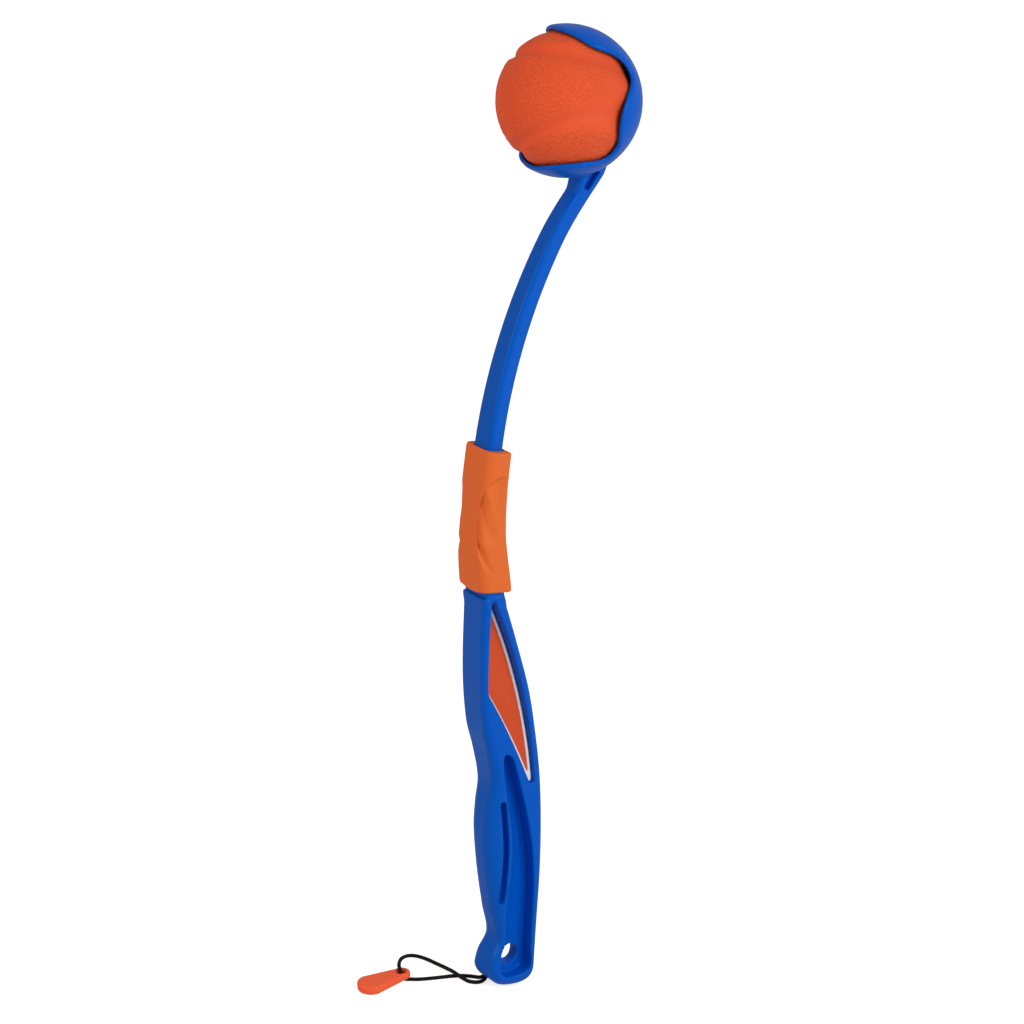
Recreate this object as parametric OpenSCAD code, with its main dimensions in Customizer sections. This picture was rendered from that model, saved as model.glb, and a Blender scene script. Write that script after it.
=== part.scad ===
// Folding ball launcher for dogs: a moulded handle, a curved throwing arm with a ball cup,
// and a soft sleeve that slides over the hinge between them and keeps the arm straight.
// Sizes are in millimetres. +Z runs up the stick, the cup's mouth faces -X, and the origin
// is the middle of the grip, where the hand holds it.

/* [Ball] */
// Diameter of the ball
ball_d = 63.5; // [58:0.5:70]
// Rubber wall of the hollow ball
ball_wall = 5.5; // [4:0.5:8]
// Depth of the two smooth bands round the ball
band_depth = 1; // [0.4:0.1:1.8]
// Width of the bands
band_w = 15; // [10:1:18]
// How far each band lies from the ball's middle, in degrees of latitude
band_latitude = 31; // [20:1:40]

/* [Cup] */
// Gap between the ball and the cup
cup_gap = 0.5; // [0.3:0.1:1.2]
// Wall of the cup
cup_wall = 2.3; // [1.6:0.1:3.4]
// How far the mouth tips up, in degrees
mouth_tilt = 15; // [5:1:25]
// Angle from the middle of the cup's back to the upper lip
upper_lip_angle = 116; // [106:0.5:120]
// Angle from the middle of the cup's back to the lower lip
lower_lip_angle = 111.5; // [104:0.5:118]
// Angle from the middle of the cup's back to the open sides
side_angle = 68; // [62:0.5:74]
// Angle that the wave in the middle of each side adds
wave_angle = 7.4; // [0:0.2:9]

/* [Throwing arm] */
// Radius of the arm's curve
arm_radius = 260; // [230:5:320]
// Angle of the curve from its upright point to the cup
sweep_angle = 40; // [36:1:44]
// Lean of the line from the arm's end to the ball's centre, in degrees
cup_lean = 28; // [20:1:36]
// Depth of the arm in front of the stick's middle line
arm_front = 3.75; // [3.2:0.05:4]
// Depth of the arm behind the stick's middle line
arm_back = 4.3; // [3.6:0.1:4.6]
// How far the arm's end bends back below the cup
end_bend = 1.6; // [0:0.1:2]
// Width of the arm at the sleeve
arm_base_w = 14; // [13:0.5:15]
// Width of the arm at the cup
arm_top_w = 10; // [8:0.5:12]
// Corner radius of the arm
arm_corner = 2; // [0.8:0.1:2.6]
// Depth of the moulded pocket on each side of the neck
neck_pocket = 2.4; // [1:0.1:3]

/* [Sleeve] */
// Length of the sleeve along the stick
sleeve_l = 65.5; // [60:0.5:74]
// Width of the sleeve
sleeve_w = 24; // [23:0.5:27]
// Wall of the sleeve, front and back
sleeve_wall = 1.4; // [1.2:0.1:2]
// Extra depth of the sleeve in front, at its mouth
mouth_bulge = 2.1; // [1.9:0.1:2.6]
// Slack of the sleeve's bore on the arm
sleeve_slack = 0.4; // [0.3:0.1:0.6]
// Extra room behind the arm in the sleeve
sleeve_back_room = 0.6; // [0.4:0.1:1]
// Room round the handle's neck in the sleeve's mouth
mouth_room = 0.4; // [0.3:0.05:0.6]
// How much lower the sleeve's mouth reaches at the back
sleeve_skirt = 4; // [0:0.5:4]
// Depth of the oval finger hollow on each side
hollow_depth = 1.3; // [0.5:0.1:1.6]
// Gap between the sleeve and the handle's shoulder
sleeve_gap = 3.6; // [3:0.1:5]

/* [Hinge] */
// Diameter of the steel pin
pin_d = 3.4; // [3:0.1:4]
// Radius of the knuckles round the pin
knuckle_r = 3.5; // [3.2:0.1:3.8]
// Height of the pin above the sleeve's lower end
pin_rise = 8; // [7:0.5:9]
// Width of the arm's tongue between the ears
tongue_w = 8.6; // [7:0.2:9.4]
// Side clearance of the tongue
tongue_gap = 0.2; // [0.1:0.05:0.4]
// Radial clearance of the pin in the tongue
pin_play = 0.05; // [0.02:0.01:0.09]
// Width of the handle's neck inside the sleeve
neck_w = 19; // [18:0.5:19.4]
// Depth of the neck behind the stick's middle line
neck_back = 4.9; // [4.4:0.1:5.2]
// Set-back of the neck's front below the knuckles
neck_relief = 0.8; // [0.6:0.1:1.2]
// Furthest fold of the arm, in degrees
fold_limit = 150; // [120:1:150]
// Clearance between arm and handle when folded
fold_gap = 0.4; // [0.3:0.1:0.8]

/* [Handle] */
// Height of the shoulder above the middle of the grip
shoulder_z = 120; // [114:1:126]
// Depth of the handle's end below the middle of the grip
end_z = 83; // [80:1:90]
// How far the stick stands in front of the grip's middle
stick_x = 13.9; // [12:0.5:16]
// Width of the handle
handle_w = 20; // [19.5:0.5:24]
// Thickness of the web between the pockets
web = 7.8; // [6:0.2:10]
// Corner radius along the back
back_corner = 2.5; // [1.5:0.1:3]
// Radius of the round pocket at the end
pocket_r = 8.8; // [8:0.1:9.2]
// Diameter of the hang hole
hang_d = 10; // [8:0.5:11]
// Depth of the narrow curved slot
slot_depth = 3.5; // [1.5:0.1:5]
// Width of the narrow curved slot
slot_w = 3; // [2:0.1:3.4]

/* [Label] */
// Thickness of the label
label_t = 0.9; // [0.6:0.1:1.2]
// Height of the label's border above its face
label_rim = 0.4; // [0.2:0.1:0.6]
// Width of the label's border
label_rim_w = 1.5; // [0.8:0.1:1.8]
// Depth of the recess at the label's lower end
recess_depth = 3.3; // [2.5:0.1:4]
// Angle at which the recess grows deeper towards the sleeve
recess_angle = 2.4; // [0:0.1:2.8]
// Corner radius of the recess
recess_corner = 1.2; // [0.8:0.1:1.6]
// Gap between the label and the recess wall
label_gap = 0.3; // [0.2:0.1:0.6]

/* [Cord] */
// Diameter of the elastic cord
cord_d = 1.8; // [1.6:0.1:1.8]
// Clearance round the cord's two strands in their hole
cord_play = 0.2; // [0.1:0.05:0.3]
// Diameter of the stopper knot
knot_d = 4.4; // [4:0.1:4.5]
// Length of the stopper knot
knot_l = 3.6; // [3:0.1:4]
// Length of the pull tab
tab_l = 28; // [24:1:34]
// Width of the pull tab at its free end
tab_w = 15; // [12:0.5:18]
// Width of the pull tab at the cord
tab_neck_w = 8.8; // [8.4:0.2:11]
// Thickness of the pull tab
tab_t = 3.2; // [2.4:0.1:3.6]

/* [Hidden] */
$fn = 64;
far = 200;
blue = "#1457c2";
orange = "#e8662f";
rubber = "#e05a33";
steel = "#b9bcc0";
black = "#17181a";

// The stick's middle line is one arc in the XZ plane, upright at upright_z.
upright_z = shoulder_z + 28;
arc_x = arm_radius - stick_x;
// Angle on the arc at a height, and the line's X there.
function arc_angle(z) = asin((z - upright_z) / arm_radius);
function arc_line_x(z) = arc_x - arm_radius * cos(arc_angle(z));
// A point beside the arc: turn is its angle, back its distance behind the line.
function by_arc(turn, back, y) =
    [arc_x - (arm_radius - back) * cos(turn), y, upright_z + (arm_radius - back) * sin(turn)];
function arc_turn(length) = length / arm_radius * 180 / PI;

sleeve_low = arc_angle(shoulder_z + sleeve_gap);
sleeve_high = sleeve_low + arc_turn(sleeve_l);
hinge_turn = sleeve_low + arc_turn(pin_rise);
// The sleeve's mouth is tangent to the knuckles in front.
neck_front = 6;
pin_back = knuckle_r - neck_front;
pin_pos = by_arc(hinge_turn, pin_back, 0);
ear_gap = tongue_w / 2 + tongue_gap;

cup_in = ball_d / 2 + cup_gap;
cup_out = cup_in + cup_wall;
arm_end = by_arc(sweep_angle, 0, 0);
cup_mid = cup_in + cup_wall / 2;
ball_pos = arm_end + cup_mid * [-sin(cup_lean), 0, cos(cup_lean)];

// Smooth curve through [position, value] pairs, as a cubic with mean slopes.
function span_of(pts, at, i = 0) = (i >= len(pts) - 2 || at <= pts[i + 1][0]) ? i : span_of(pts, at, i + 1);
function rise(pts, i) =
    let (a = max(i - 1, 0), b = min(i + 1, len(pts) - 1))
    (pts[b][1] - pts[a][1]) / (pts[b][0] - pts[a][0]);
function curve(pts, at) =
    let (i = span_of(pts, at), h = pts[i + 1][0] - pts[i][0], t = (at - pts[i][0]) / h)
    let (t2 = t * t, t3 = t2 * t)
    (2 * t3 - 3 * t2 + 1) * pts[i][1] + (t3 - 2 * t2 + t) * h * rise(pts, i)
    + (3 * t2 - 2 * t3) * pts[i + 1][1] + (t3 - t2) * h * rise(pts, i + 1);
function smooth(t) = let (c = min(max(t, 0), 1)) c * c * (3 - 2 * c);
function mix(a, b, t) = a + (b - a) * t;

// Rounded rectangle, counter-clockwise: x from front to back, y from -half to half.
corner_steps = 4;
function corner_arc(x, y, r, from) =
    [for (i = [0:corner_steps]) let (a = from + 90 * i / corner_steps) [x + r * cos(a), y + r * sin(a)]];
function rounded_ring(front, back, half, r_front, r_back) = concat(
    corner_arc(back - r_back, r_back - half, r_back, -90),
    corner_arc(back - r_back, half - r_back, r_back, 0),
    corner_arc(front + r_front, half - r_front, r_front, 90),
    corner_arc(front + r_front, r_front - half, r_front, 180));

// Solid through a stack of rings that all have the same number of points.
module loft(rings) {
    n = len(rings[0]);
    last = (len(rings) - 1) * n;
    sides = [for (i = [0:len(rings) - 2], j = [0:n - 1])
        let (k = (j + 1) % n, a = i * n, b = a + n) each [[a + j, b + j, b + k], [a + j, b + k, a + k]]];
    low = [for (j = [1:n - 2]) [0, j, j + 1]];
    high = [for (j = [1:n - 2]) [last, last + j + 1, last + j]];
    polyhedron([for (r = rings) each r], concat(sides, low, high));
}

// Outline in the XZ plane, made solid from y0 to y1.
module side_cut(outline, y0, y1) {
    translate([0, y1, 0]) rotate([90, 0, 0]) linear_extrude(y1 - y0) polygon(outline);
}
module both_sides() {
    children();
    mirror([0, 1, 0]) children();
}
// Frame of the hinge: Z along the stick, origin on the pin's axis.
module at_hinge() {
    translate(pin_pos) rotate([0, hinge_turn, 0]) children();
}
module cross_pin(r, l) {
    rotate([90, 0, 0]) cylinder(r = r, h = l, center = true);
}

// Handle: front and back lines of the side view, and the front edge's roundness, by height.
heel_z = 11 - end_z;
shoulder_x = arc_line_x(shoulder_z);
front_line = [[heel_z, -14.4], [heel_z + 7, -12.4], [heel_z + 15, -8.8], [-42, -11.4], [-20, -14.4],
    [0, -15.8], [12, -14.8], [24, -13], [40, -15.3], [54, -18.4], [80, -19.9],
    [shoulder_z, shoulder_x - 7.1]];
back_line = [[heel_z, 9.6], [-50, 11.1], [-25, 12.9], [0, 13.5], [25, 12.7], [50, 9.8], [70, 6.4],
    [95, -0.4], [shoulder_z, shoulder_x + 5]];
front_round = [[heel_z, 4], [-55, 5], [0, 6.5], [25, 5], [60, 3.3], [shoulder_z, 3]];
foot_x = 1;
foot_steps = 8;
body_steps = 36;
foot_thin = 0.5;
function handle_ring(z) =
    let (down = max(heel_z - z, 0) / (heel_z + end_z), shrink = sqrt(1 - down * down), zc = max(z, heel_z))
    let (front = foot_x + (curve(front_line, zc) - foot_x) * shrink)
    let (back = foot_x + (curve(back_line, zc) - foot_x) * shrink)
    let (half = handle_w / 2 * (1 - foot_thin * pow(down, 4)), room = (back - front) / 2.1)
    let (rf = min(curve(front_round, zc), room, half - 1), rb = min(back_corner + 2 * down, room, half - 1))
    [for (p = rounded_ring(front, back, half, rf, rb)) [p[0], p[1], z]];
function handle_rings() = concat(
    [for (i = [foot_steps:-1:1]) handle_ring(heel_z - (heel_z + end_z) * sin(85 * i / foot_steps))],
    [for (i = [0:body_steps]) handle_ring(heel_z + (shoulder_z - heel_z) * i / body_steps)]);

// Outline of a band that follows a line of [z, x, width] points, with pointed ends.
band_steps = 14;
function band_outline(pts) =
    let (mid = [for (p = pts) [p[0], p[1]]], wide = [for (p = pts) [p[0], p[2]]])
    let (z0 = pts[0][0], dz = (pts[len(pts) - 1][0] - z0) / band_steps)
    concat([for (i = [0:band_steps]) let (z = z0 + dz * i) [curve(mid, z) + curve(wide, z) / 2, z]],
        [for (i = [band_steps:-1:0]) let (z = z0 + dz * i) [curve(mid, z) - curve(wide, z) / 2, z]]);

hang_x = -1.5;
hang_z = heel_z + 5.3;
slot_line = [[-37.5, -9, slot_w], [-28, -8.1, slot_w], [-9, -6.95, slot_w], [8, -7.9, slot_w],
    [15.5, -8.6, slot_w]];
// The channel's left and right sides, by height. Its floor slopes down from the left to the right wall.
channel_left = [[hang_z, -8], [-50, -8.6], [-35, -6.4], [-24, -4.7], [-10, -3.6], [4, -4.5], [16, -6.2],
    [30, -8.1], [39, -8.4]];
channel_right = [[hang_z, 6.8], [-50, 7.6], [-35, 8.4], [-24, 8.4], [-10, 7.4], [4, 5.2], [16, 2.5],
    [30, -1.1], [39, -3.9]];
channel_steps = 16;
function channel_ring(z) =
    let (l = curve(channel_left, z), r = curve(channel_right, z), top = handle_w / 2, deep = top - web / 2)
    [[l - 0.3, top + 0.2, z], [l + 0.28 * (r - l), top - 0.55 * deep, z],
        [l + 0.62 * (r - l), top - 0.92 * deep, z], [r, top - 0.985 * deep, z], [r, far, z], [l - 0.3, far, z]];

// Label: a long three-cornered plate with a bowed back edge.
label_top = [shoulder_x - 1.9, shoulder_z - 0.2];
label_low = [7.9, 18];
label_front = [-16.7, 71.5];
label_bow = 6.4;
edge_steps = 8;
function edge_points(a, b, bow) =
    let (d = b - a, n = [d[1], -d[0]] / norm(d))
    [for (i = [0:edge_steps - 1]) let (t = i / edge_steps) a + d * t + n * bow * 4 * t * (1 - t)];
function label_outline() = concat(edge_points(label_top, label_front, 0.5),
    edge_points(label_front, label_low, 0), edge_points(label_low, label_top, label_bow));
label_outer = label_outline();
module recess_outline(inset) {
    offset(r = recess_corner - inset, $fn = 24) offset(delta = -recess_corner) polygon(label_outer);
}
// Frame of the recess's floor, which leans in towards the sleeve. Z points out of the handle's side.
module on_recess() {
    translate([0, recess_depth - handle_w / 2, label_low[1]]) rotate([-recess_angle, 0, 0])
        translate([0, 0, -label_low[1]]) rotate([90, 0, 0]) children();
}

// The cord's hole runs from the heel's underside up into the far pocket, and takes both strands.
cord_tip = 27;
cord_dir = [sin(cord_tip), 0, cos(cord_tip)];
cord_exit = [-8.6, 6.2, heel_z - 8.5];
cord_inside = 6.9;
strand_side = cord_d / 2 + 0.04;
cord_hole_d = 2 * cord_d + cord_play;
module along_cord() {
    translate(cord_exit) rotate([0, cord_tip, 0]) children();
}

module side_pockets() {
    pocket_floor = web / 2;
    translate([hang_x, pocket_floor, hang_z]) rotate([-90, 0, 0]) cylinder(r = pocket_r, h = far);
    loft([for (i = [0:channel_steps])
        channel_ring(mix(channel_left[0][0], channel_left[len(channel_left) - 1][0], i / channel_steps))]);
    translate([0, far, 0]) rotate([90, 0, 0]) linear_extrude(far - handle_w / 2 + slot_depth)
        offset(r = slot_w * 0.4, $fn = 24) offset(delta = -slot_w * 0.4) polygon(band_outline(slot_line));
}

// Room for the tongue in the neck, clear of the arm's front face when it is folded.
module tongue_room() {
    rotate([90, 0, 0]) linear_extrude(2 * ear_gap, center = true) {
        circle(r = knuckle_r + fold_gap);
        rotate(fold_limit - 180) translate([pin_back + arm_front + fold_gap - far, -far])
            square([far, 2 * far]);
    }
}

module handle() {
    neck_l = pin_rise + sleeve_gap + 3;
    color(blue) difference() {
        union() {
            loft(handle_rings());
            at_hinge() {
                cross_pin(knuckle_r, neck_w);
                translate([neck_relief - knuckle_r, -neck_w / 2, -neck_l])
                    cube([knuckle_r - neck_relief + neck_back - pin_back, neck_w, neck_l]);
            }
        }
        at_hinge() {
            tongue_room();
            cross_pin(pin_d / 2, far);
        }
        both_sides() side_pockets();
        on_recess() linear_extrude(far) recess_outline(0);
        translate([hang_x, 0, hang_z]) cross_pin(hang_d / 2, far);
        along_cord() translate([0, 0, -8]) cylinder(d = cord_hole_d, h = 8 + cord_inside);
    }
}

module hinge_pin() {
    color(steel) at_hinge() cross_pin(pin_d / 2, neck_w);
}

// Label: a plate on the floor of the recess, with a raised border.
module label() {
    color(orange) on_recess() {
        linear_extrude(label_t) recess_outline(label_gap);
        linear_extrude(label_t + label_rim) difference() {
            recess_outline(label_gap);
            offset(delta = -label_rim_w) recess_outline(label_gap);
        }
    }
}

// Throwing arm: rings along the arc, thicker at the heel that rests on the neck's shelf.
heel_extra = 0.85;
heel_l = 25;
heel_lift = 0.1;
arm_steps = 34;
blend_turn = 3;
bend_turn = 9;
arm_high = sweep_angle + 2;
arm_low = hinge_turn + arc_turn(heel_lift);
function arm_ring(turn) =
    let (up = min(max((turn - sleeve_high) / (sweep_angle - sleeve_high), 0), 1))
    let (half = (arm_base_w + (arm_top_w - arm_base_w) * up) / 2)
    let (heel = heel_extra * (1 - smooth((turn - hinge_turn) / arc_turn(heel_l))))
    let (blend = (arm_front + arm_back) * 0.4 * smooth((turn - arm_high + blend_turn) / blend_turn))
    let (bend = end_bend * smooth((turn - sweep_angle + bend_turn) / bend_turn))
    let (back = arm_back + heel - blend, r = min(arm_corner, (back + arm_front) / 2.1))
    [for (p = rounded_ring(-arm_front, back, half, r, r)) by_arc(turn, p[0] + bend, p[1])];
function arm_rings() = [for (i = [0:arm_steps]) arm_ring(arm_low + (arm_high - arm_low) * i / arm_steps)];

// Rim of the cup: [angle round the mouth from the upper lip, angle from the middle of the back].
rim_steps = 96;
rim_line = [[0, upper_lip_angle], [14, upper_lip_angle - 1.7], [26, upper_lip_angle - 6.4],
    [36, upper_lip_angle - 15], [42, side_angle + 18], [48, side_angle + 4], [56, side_angle - 0.6],
    [73, side_angle + 0.55 * wave_angle], [88, side_angle + wave_angle],
    [100, side_angle + 0.75 * wave_angle], [114, side_angle + 0.5], [126, side_angle + 3],
    [134, side_angle + 13], [143, lower_lip_angle - 14], [158, lower_lip_angle - 3],
    [180, lower_lip_angle]];
function rim_reach(round) = curve(rim_line, round > 180 ? 360 - round : round);
// A place on the cup: its radius, its part of the way to the rim, and its angle round the mouth.
reach_steps = 9;
function cup_point(r, part, round) =
    let (reach = part * rim_reach(round))
    r * [cos(reach), sin(reach) * sin(round), sin(reach) * cos(round)];
function cup_ring(r, part) = [for (i = [0:rim_steps - 1]) cup_point(r, part, 360 * i / rim_steps)];
function reach_part(k) = k == 0 ? 0.02 : k / reach_steps;
module cup_shell() {
    outside = [for (k = [0:reach_steps]) cup_ring(cup_out, reach_part(k))];
    rim = [cup_ring(cup_mid, 1.014)];
    inside = [for (k = [reach_steps:-1:0]) cup_ring(cup_in, reach_part(k))];
    rotate([0, mouth_tilt, 0]) loft(concat(outside, rim, inside));
}

// Space of the ears beside the tongue, up to the neck's front face when the arm is folded.
module ear_room() {
    rotate([0, fold_limit - 180, 0])
        translate([knuckle_r + fold_gap - far, tongue_w / 2, -far])
        cube([far, far, 2 * far]);
}
neck_corners = [[-8.7, -10.5], [-6.1, -12.2], [-0.7, -4.5], [-8.7, -6.1]];
module throwing_arm() {
    color(blue) difference() {
        union() {
            difference() {
                loft(arm_rings());
                at_hinge() both_sides() ear_room();
                translate(ball_pos) sphere(r = cup_mid);
            }
            at_hinge() cross_pin(knuckle_r, tongue_w);
            translate(ball_pos) cup_shell();
        }
        at_hinge() cross_pin(pin_d / 2 + pin_play, far);
        both_sides() side_cut([for (p = neck_corners) [p[0] + arm_end[0], p[1] + arm_end[2]]],
            arm_top_w / 2 - neck_pocket, far);
    }
}

// Sleeve: one loft outside and one for its bore, wide at the mouth to take the handle's neck.
sleeve_steps = 24;
bore_steps = 14;
side_steps = 7;
sleeve_corner = 3;
bore_corner = 1;
mouth_back_room = 1.4;
mouth_flare = 0.6;
function wide(t) = 1 - smooth((t - 0.23) / 0.27);
function bore_front(t) = -mix(arm_front + sleeve_slack, neck_front + mouth_room, wide(t));
function bore_back(t) =
    mix(arm_back + sleeve_slack + sleeve_back_room, neck_back + mouth_back_room, wide(t));
function bore_half(t) = mix(arm_base_w / 2 + sleeve_slack, neck_w / 2 + sleeve_slack, wide(t));
function sleeve_front(t) = -arm_front - sleeve_slack - sleeve_wall - mouth_bulge * (1 - smooth(t));
function sleeve_back(t) = bore_back(t) + sleeve_wall + mouth_flare * (1 - smooth(t / 0.3));
// The oval hollow's depth at a place on the side.
function hollow(t, back) =
    let (a = (t - 0.46) / 0.36, b = (back - 1.5) / 7)
    hollow_depth * smooth(1.6 * (1 - a * a - b * b));
function sleeve_turn(t, back) =
    let (drop = sleeve_skirt * (back - sleeve_front(t)) / (sleeve_back(t) - sleeve_front(t)))
    sleeve_low + arc_turn(t * sleeve_l - drop * max(0, 1 - t / 0.35));
function sleeve_ring(t) =
    let (f = sleeve_front(t), b = sleeve_back(t), h = sleeve_w / 2, r = sleeve_corner)
    let (side = [for (i = [1:side_steps - 1]) mix(f + r, b - r, i / side_steps)])
    let (flat = concat([for (x = side) [x, hollow(t, x) - h]],
        corner_arc(b - r, r - h, r, -90), corner_arc(b - r, h - r, r, 0),
        [for (i = [side_steps - 2:-1:0]) [side[i], h - hollow(t, side[i])]],
        corner_arc(f + r, h - r, r, 90), corner_arc(f + r, r - h, r, 180)))
    [for (p = flat) by_arc(sleeve_turn(t, p[0]), p[0], p[1])];
function bore_ring(t) =
    [for (p = rounded_ring(bore_front(t), bore_back(t), bore_half(t), bore_corner, bore_corner))
        by_arc(sleeve_low + arc_turn(t * sleeve_l), p[0], p[1])];
module sleeve() {
    color(orange) difference() {
        loft([for (i = [0:sleeve_steps]) sleeve_ring(i / sleeve_steps)]);
        loft([for (i = [-2:bore_steps + 1]) bore_ring(i / bore_steps)]);
    }
}

// Ball: hollow, with two shallow round bands tipped against each other.
module ball() {
    band_curve = band_w * band_w / (8 * band_depth);
    reach = ball_d / 2 - band_depth + band_curve;
    color(rubber) translate(ball_pos) difference() {
        sphere(d = ball_d);
        sphere(r = ball_d / 2 - ball_wall);
        rotate([0, 31, 45]) rotate_extrude()
            translate([reach * cos(band_latitude), reach * sin(band_latitude)]) circle(r = band_curve);
        rotate([0, 39, 87]) rotate_extrude()
            translate([reach * cos(band_latitude), -reach * sin(band_latitude)]) circle(r = band_curve);
    }
}

// Cord: out of its hole, under the tab and up through it, then back over itself to the same hole.
// Each point is [x, y, lift], with the lift above a cord that lies on the floor.
cord_floor = cord_d / 2 - end_z;
cord_route = [[-10.4, 8, 0.4], [-11.6, 10, 0], [-13.8, 12.5, 0], [-17.3, 15.3, 0], [-21, 17.2, 0],
    [-26.4, 19.1, 0], [-32, 21.1, 0], [-36.5, 23.1, 0], [-39.2, 25, 0], [-41.2, 26.2, 0.05],
    [-42.4, 27.1, 1], [-42.9, 27.7, 2.7], [-43.1, 28.5, 4.6], [-42.4, 30.8, 6.2], [-39.4, 34, 6.9],
    [-35, 37, 6.1], [-30, 39.4, 4.3], [-25.4, 39.8, 2.3], [-21.8, 37.4, 0.7], [-20, 33.2, 0],
    [-19.2, 28, 0.2], [-19.3, 23, 0.9], [-19.8, 18.4, 1.75], [-20, 14.4, 2], [-19.3, 10.6, 1.4],
    [-17.7, 7.4, 0.5], [-15.4, 5.4, 0.1], [-12.8, 4.6, 0], [-10.5, 4.8, 0.4]];
function on_strand(side, along) = cord_exit + [0, side * strand_side, 0] + along * cord_dir;
function cord_points() = concat(
    [on_strand(1, cord_inside + knot_l / 2), on_strand(1, 3.4), on_strand(1, 0)],
    [for (p = cord_route) [p[0], p[1], cord_floor + p[2]]],
    [on_strand(-1, 0), on_strand(-1, 3.4), on_strand(-1, cord_inside + knot_l / 2)]);
function unit(v) = v / norm(v);
function cord_rings(pts, sides) =
    let (n = len(pts), way = [for (i = [0:n - 1]) unit(pts[min(i + 1, n - 1)] - pts[max(i - 1, 0)])])
    [for (i = 0, side = [0, 1, 0]; i < n;
        i = i + 1, side = i < n ? unit(side - (side * way[i]) * way[i]) : side)
        let (s = unit(side - (side * way[i]) * way[i]), u = cross(way[i], s))
        [for (k = [0:sides - 1])
            let (a = 360 * k / sides) pts[i] + cord_d / 2 * (cos(a) * s + sin(a) * u)]];
module cord() {
    color(black) loft(cord_rings(cord_points(), 8));
}

// Stopper knot: a rounded barrel against the pocket's wall, round the ends of both strands.
module cord_knot() {
    flat_r = knot_d * 0.38;
    color(black) along_cord() translate([0, 0, cord_inside]) difference() {
        rotate_extrude() polygon([[0, 0], [flat_r, 0], [knot_d / 2, knot_l * 0.3], [knot_d / 2, knot_l * 0.7],
            [flat_r, knot_l], [0, knot_l]]);
        for (side = [-1, 1]) translate([0, side * strand_side, -1])
            cylinder(d = cord_d + 0.1, h = 1.05 + knot_l / 2);
    }
}

// Pull tab: a rounded teardrop that leans from the cord under its neck down to the floor.
tab_pos = [-38.6, 27.7];
tab_heading = 181;
tab_lift = cord_d + 0.5;
tab_hole_r = 2.4;
tab_hole_x = tab_neck_w / 2;
module pull_tab() {
    color(orange) translate([tab_pos[0], tab_pos[1], tab_lift - end_z]) rotate([0, 0, tab_heading])
        rotate([0, asin(tab_lift / tab_l), 0]) linear_extrude(tab_t) difference() {
            hull() {
                translate([tab_neck_w / 2, 0]) circle(d = tab_neck_w);
                translate([tab_l - tab_w / 2, 0]) circle(d = tab_w);
            }
            translate([tab_hole_x, 0]) circle(r = tab_hole_r, $fn = 32);
        }
}

handle();
hinge_pin();
label();
throwing_arm();
sleeve();
ball();
cord();
cord_knot();
pull_tab();
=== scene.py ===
# %% [markdown]
# # A folding ball launcher for dogs
# The real object is a moulded plastic stick with a ball in its cup, a soft sleeve over its hinge and
# a cord with a tab at its end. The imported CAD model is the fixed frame. This lesson builds what the
# eye sees around it, piece by piece, and each piece rides on the CAD body that it belongs to. The
# object's sizes are in millimetres, and MM turns them into Blender's metres. The stage is in metres.

# %% Load the frame
import math

import bpy
import numpy as np
from mathutils import Matrix, Vector


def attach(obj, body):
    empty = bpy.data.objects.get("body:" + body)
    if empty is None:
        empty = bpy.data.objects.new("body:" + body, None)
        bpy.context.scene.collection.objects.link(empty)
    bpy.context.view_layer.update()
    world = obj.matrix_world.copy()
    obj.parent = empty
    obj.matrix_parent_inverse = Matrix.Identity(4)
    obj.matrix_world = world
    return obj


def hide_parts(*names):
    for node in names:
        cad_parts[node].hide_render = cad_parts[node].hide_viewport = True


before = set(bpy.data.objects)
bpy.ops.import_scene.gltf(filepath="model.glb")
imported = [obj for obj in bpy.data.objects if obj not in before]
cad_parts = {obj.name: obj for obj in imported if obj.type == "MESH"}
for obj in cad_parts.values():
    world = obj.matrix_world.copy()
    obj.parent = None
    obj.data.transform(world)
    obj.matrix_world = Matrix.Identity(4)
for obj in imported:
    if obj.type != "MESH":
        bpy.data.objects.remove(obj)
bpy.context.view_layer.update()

MM = 0.001

# %% [markdown]
# ## Camera
# The photograph is taken with a long lens, from the front left and a little above. The angles and the
# distance were fitted to the round ball and to the ends of the stick, so the same camera shows the
# model at the same size and place.

# %% Camera
VIEW_AZIMUTH = math.radians(-33)
VIEW_ELEVATION = math.radians(19)
VIEW_DISTANCE = 1724 * MM
VIEW_TARGET = Vector((2.5, 0, 155)) * MM
LENS = 131.5
SENSOR_WIDTH = 36
CLIP_END = 20

camera = bpy.data.objects.new("camera", bpy.data.cameras.new("camera"))
bpy.context.scene.collection.objects.link(camera)
toward_camera = Vector((
    math.sin(VIEW_AZIMUTH) * math.cos(VIEW_ELEVATION),
    -math.cos(VIEW_AZIMUTH) * math.cos(VIEW_ELEVATION),
    math.sin(VIEW_ELEVATION),
))
camera.location = VIEW_TARGET + toward_camera * VIEW_DISTANCE
camera.rotation_euler = (math.pi / 2 - VIEW_ELEVATION, 0, VIEW_AZIMUTH)
camera.data.lens = LENS
camera.data.sensor_width = SENSOR_WIDTH
camera.data.clip_end = CLIP_END
bpy.context.scene.camera = camera
print("camera at", [round(v, 3) for v in camera.location])

# %% [markdown]
# ## Small helpers
# The world, the materials and Geometry Nodes are all trees of nodes. One helper adds a node with its
# links, and another turns sRGB hex colours into the linear numbers that shaders take.


# %% Helpers for node trees
def linear(hex_colour):
    """An sRGB hex colour as the linear RGBA that shader sockets take."""
    parts = [int(hex_colour[i:i + 2], 16) / 255 for i in (1, 3, 5)]
    return [c / 12.92 if c <= 0.04045 else ((c + 0.055) / 1.055) ** 2.4 for c in parts] + [1.0]


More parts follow.
